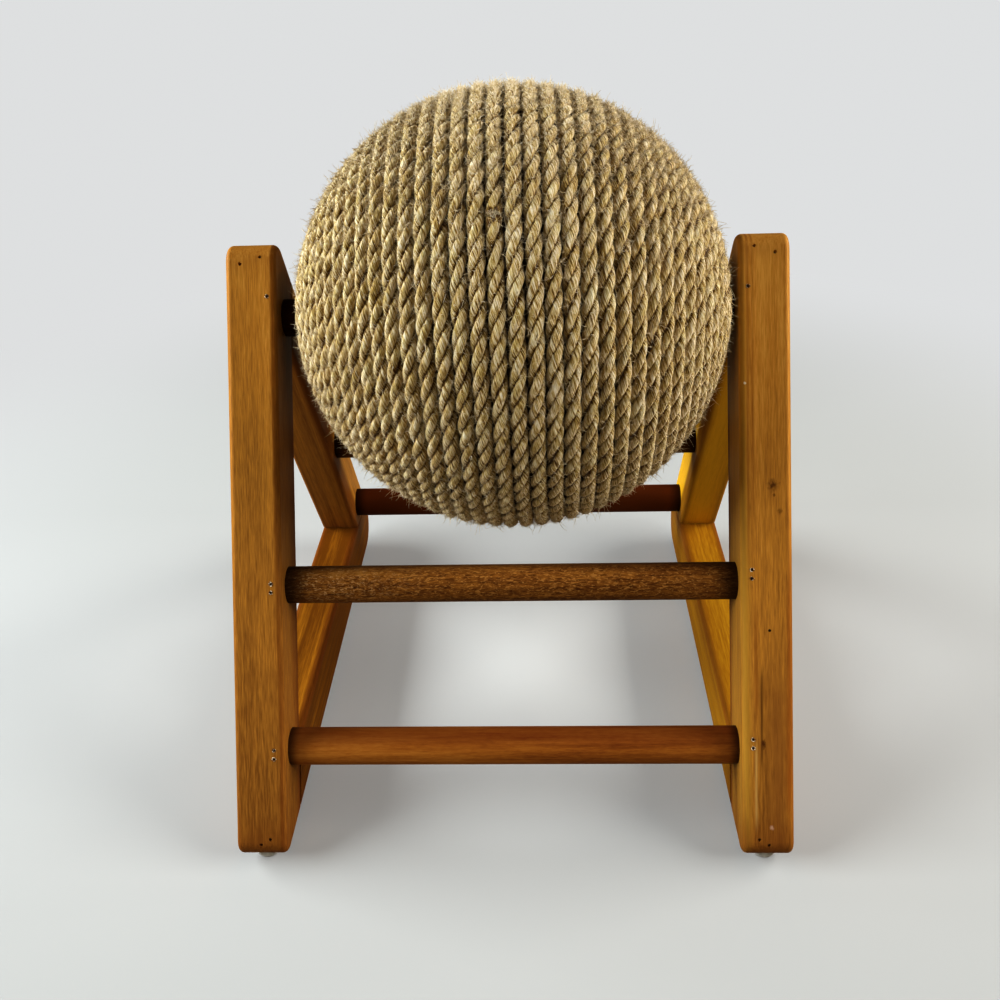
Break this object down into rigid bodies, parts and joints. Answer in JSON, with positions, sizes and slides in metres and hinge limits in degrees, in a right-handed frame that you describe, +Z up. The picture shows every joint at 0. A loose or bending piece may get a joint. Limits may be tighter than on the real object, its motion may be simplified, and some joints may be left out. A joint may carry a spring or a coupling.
{
  "type": "cat scratching ball",
  "caption": "Rope-wound cat scratching ball that spins on a wooden axle between two triangular timber side frames joined by round rungs.",
  "frame": {"origin": "on the floor, below the middle of the object's box", "axes": "+X along the axle to the right, +Y to the back, +Z up"},
  "size_m": [0.293, 0.3168, 0.3632],
  "materials": {
    "honey_wood": "satin varnish",
    "amber_wood": "satin varnish",
    "dark_wood": "satin varnish",
    "brad_steel": "dull",
    "pad_rubber": "matte",
    "sisal_rope": "laid, fibrous",
    "core_plastic": "moulded",
    "bush_nylon": "moulded"
  },
  "bodies": {
    "stand": {"front_left_pad": "pad_rubber", "front_right_pad": "pad_rubber", "rear_left_pad": "pad_rubber", "rear_right_pad": "pad_rubber", "pad_nails": "brad_steel", "left_front_leg": "honey_wood", "right_front_leg": "honey_wood", "left_rear_leg": "honey_wood", "right_rear_leg": "honey_wood", "left_base_rail": "honey_wood", "right_base_rail": "honey_wood", "front_lower_rung": "amber_wood", "front_upper_rung": "dark_wood", "rear_lower_rung": "dark_wood", "rear_upper_rung": "dark_wood", "axle_dowel": "dark_wood", "apex_brads": "brad_steel", "toe_brads": "brad_steel", "heel_brads": "brad_steel", "front_rung_pins": "brad_steel", "rear_rung_pins": "brad_steel", "axle_pins": "brad_steel"},
    "ball": {"left_core_half": "core_plastic", "right_core_half": "core_plastic", "left_hub_bush": "bush_nylon", "right_hub_bush": "bush_nylon", "left_rope": "sisal_rope", "right_rope": "sisal_rope"}
  },
  "joints": [
    {"name": "ball_spin", "type": "hinge", "parent": "stand", "child": "ball", "pos_m": [0.0035, 0.00076, 0.24775], "axis": [1, 0, 0], "continuous": true}
  ]
}
